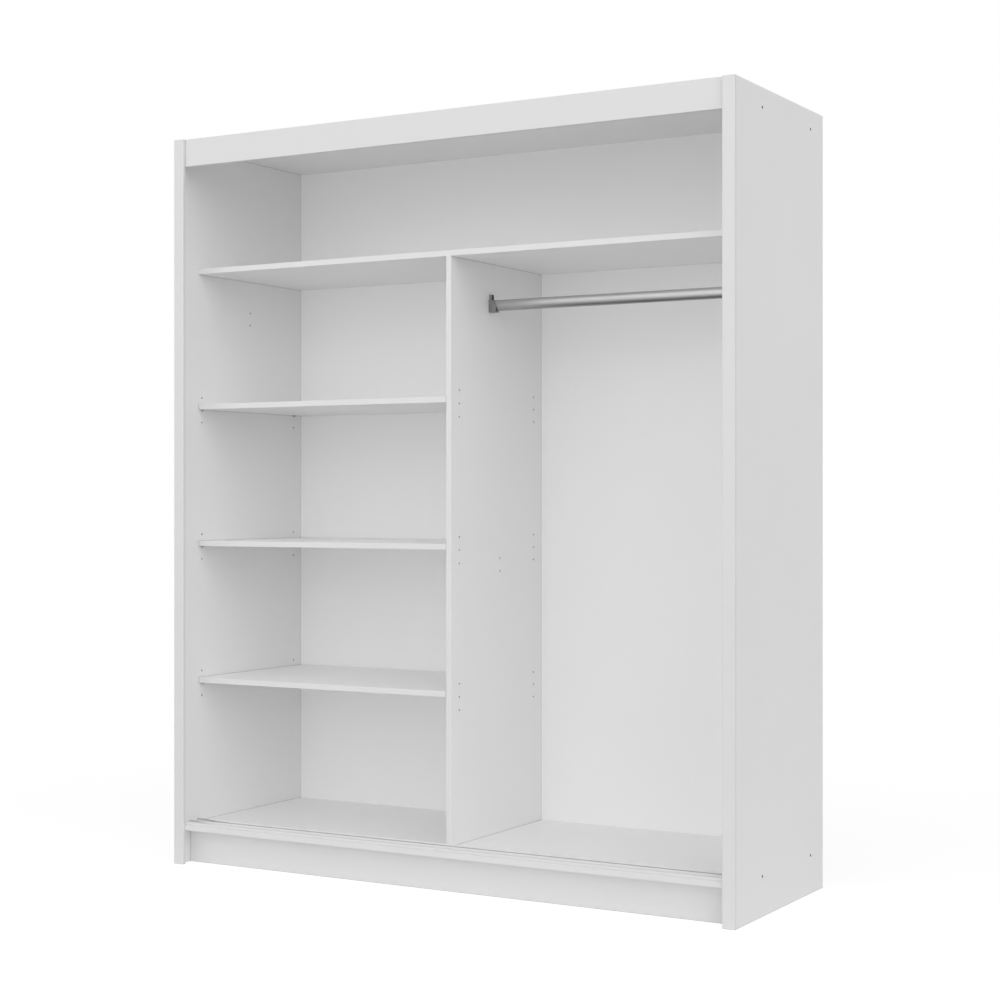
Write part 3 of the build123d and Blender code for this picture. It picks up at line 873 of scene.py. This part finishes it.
class WARDROBE_OT_studio(bpy.types.Operator):
    """Sets up the pale floor, the soft lamps and the camera"""

    bl_idname = "wardrobe.studio"
    bl_label = "Studio"

    def execute(self, context):
        studio = context.scene.wardrobe.studio
        self.floor(studio)
        self.cloth(studio)
        self.sky(context.scene, studio)
        for lamp in LAMPS:
            self.lamp(*lamp)
        self.camera(context.scene, studio)
        context.scene.view_settings.view_transform = "Standard"
        context.scene.cycles.diffuse_bounces = studio.bounces
        return {"FINISHED"}

    def floor(self, studio):
        """Square floor that renders white to the camera and keeps the cabinet's shadow."""
        material, sheet, surface = new_stage_finish("pale floor")
        plain = sheet.add("ShaderNodeBsdfDiffuse", {"Color": studio.floor_colour})
        shadowed = sheet.add("ShaderNodeBsdfDiffuse", {"Color": studio.floor_shade})
        glow = sheet.add("ShaderNodeEmission", {"Strength": studio.floor_glow})
        shown = sheet.add("ShaderNodeAddShader", {0: shadowed.outputs[0], 1: glow.outputs[0]})
        path = sheet.add("ShaderNodeLightPath").outputs
        seen = sheet.maths("MAXIMUM", path["Is Camera Ray"], path["Is Glossy Ray"])
        either = sheet.add("ShaderNodeMixShader",
                           {0: seen, 1: plain.outputs[0], 2: shown.outputs[0]})
        sheet.feed(surface, either.outputs[0])
        corners = np.array([(-0.5, -0.5, 0.0), (0.5, -0.5, 0.0), (0.5, 0.5, 0.0),
                            (-0.5, 0.5, 0.0)])
        surface_object("studio_floor", studio.floor_size * corners,
                                np.array([(0, 1, 2, 3)]), material)

    def cloth(self, studio):
        """Cloth on the floor in front and up a stand, that only gloss shows.

        It is dark below and light above. Its profile is a run along the floor, a quarter
        circle and a rise: (y, z) = (y0 - r sin t, r - r cos t) on the turn, for t over a
        quarter turn.
        """
        turn = np.linspace(0.0, math.pi / 2, CLOTH_TURN_STEPS)
        radius, stand = studio.cloth_turn, studio.cloth_stand
        y = np.concatenate([[-studio.cloth_start], radius - stand - radius * np.sin(turn),
                            [-stand]])
        z = np.concatenate([[0.0], radius - radius * np.cos(turn), [studio.cloth_height]])
        profile = np.stack([y, z + studio.cloth_lift], axis=-1)
        half = studio.cloth_width / 2
        points = np.stack([np.column_stack([np.full(len(profile), x), profile])
                           for x in (-half, half)])
        column = np.arange(len(profile) - 1)
        faces = np.stack([column, column + 1, column + 1 + len(profile), column + len(profile)],
                         axis=-1)
        material, sheet, surface = new_stage_finish("grey cloth")
        height = sheet.add("ShaderNodeSeparateXYZ", {0: sheet.place()}).outputs[2]
        strength = sheet.span(height, 0.0, studio.cloth_height, studio.cloth_low,
                              studio.cloth_high)
        glow = sheet.add("ShaderNodeEmission", {"Strength": strength})
        sheet.feed(surface, glow.outputs[0])
        cloth = surface_object("studio_cloth", points, faces, material)
        for ray in ("camera", "diffuse", "transmission", "volume_scatter", "shadow"):
            setattr(cloth, f"visible_{ray}", False)

    def sky(self, scene, studio):
        """Even light from all sides, shown as plain white."""
        world = bpy.data.worlds.new("studio sky")
        world.use_nodes = True
        scene.world = world
        sheet = NodeSheet(world.node_tree)
        path = sheet.add("ShaderNodeLightPath").outputs
        seen = sheet.maths("MAXIMUM", sheet.maths("MAXIMUM", path["Is Camera Ray"],
                                                  path["Is Glossy Ray"]),
                           path["Is Transmission Ray"])
        strength = sheet.span(seen, 0.0, 1.0, studio.ambient, 1.0)
        background = world.node_tree.nodes["Background"]
        background.inputs["Color"].default_value = (1, 1, 1, 1)
        sheet.feed(background.inputs["Strength"], strength)

    def lamp(self, name, azimuth, elevation, softness, strength, shadow):
        """Sun lamp that shines from an azimuth and elevation, in degrees."""
        light = bpy.data.lights.new(name, "SUN")
        light.energy = strength
        light.use_shadow = shadow
        light.angle = math.radians(softness)
        lamp = bpy.data.objects.new(name, light)
        bpy.context.scene.collection.objects.link(lamp)
        lamp.rotation_euler = (math.radians(90.0 - elevation), 0.0, math.radians(azimuth))

    def camera(self, scene, studio):
        """Level camera, turned to the left."""
        lens = bpy.data.cameras.new("camera")
        lens.lens = studio.lens
        lens.sensor_width = SENSOR_WIDTH
        camera = bpy.data.objects.new("camera", lens)
        scene.collection.objects.link(camera)
        camera.location = studio.camera_place
        camera.rotation_euler = (math.pi / 2, 0.0, studio.camera_turn)
        scene.camera = camera


STEPS = (WARDROBE_OT_effects, WARDROBE_OT_boards, WARDROBE_OT_bands, WARDROBE_OT_back_sheets,
         WARDROBE_OT_tracks, WARDROBE_OT_fittings, WARDROBE_OT_rail, WARDROBE_OT_rail_brackets,
         WARDROBE_OT_studio)


class WARDROBE_PT_panel(bpy.types.Panel):
    """Lists the settings and the steps"""

    bl_idname = "WARDROBE_PT_panel"
    bl_label = "Wardrobe cabinet"
    bl_space_type = "VIEW_3D"
    bl_region_type = "UI"
    bl_category = "Wardrobe"

    def draw(self, context):
        settings = context.scene.wardrobe
        for group in (settings.finishes, settings.rail, settings.studio):
            box = self.layout.box()
            for name in group.__annotations__:
                box.prop(group, name)
        for step in STEPS:
            self.layout.operator(step.bl_idname)


CLASSES = (WardrobeFinishes, WardrobeRail, WardrobeStudio, WardrobeSettings, *STEPS,
           WARDROBE_PT_panel)


def register():
    for item in CLASSES:
        bpy.utils.register_class(item)
    bpy.types.Scene.wardrobe = PointerProperty(type=WardrobeSettings)


def unregister():
    del bpy.types.Scene.wardrobe
    for item in reversed(CLASSES):
        bpy.utils.unregister_class(item)


def main():
    """Runs every step."""
    register()
    for step in STEPS:
        group, name = step.bl_idname.split(".")
        getattr(getattr(bpy.ops, group), name)()


if __name__ == "__main__":
    main()
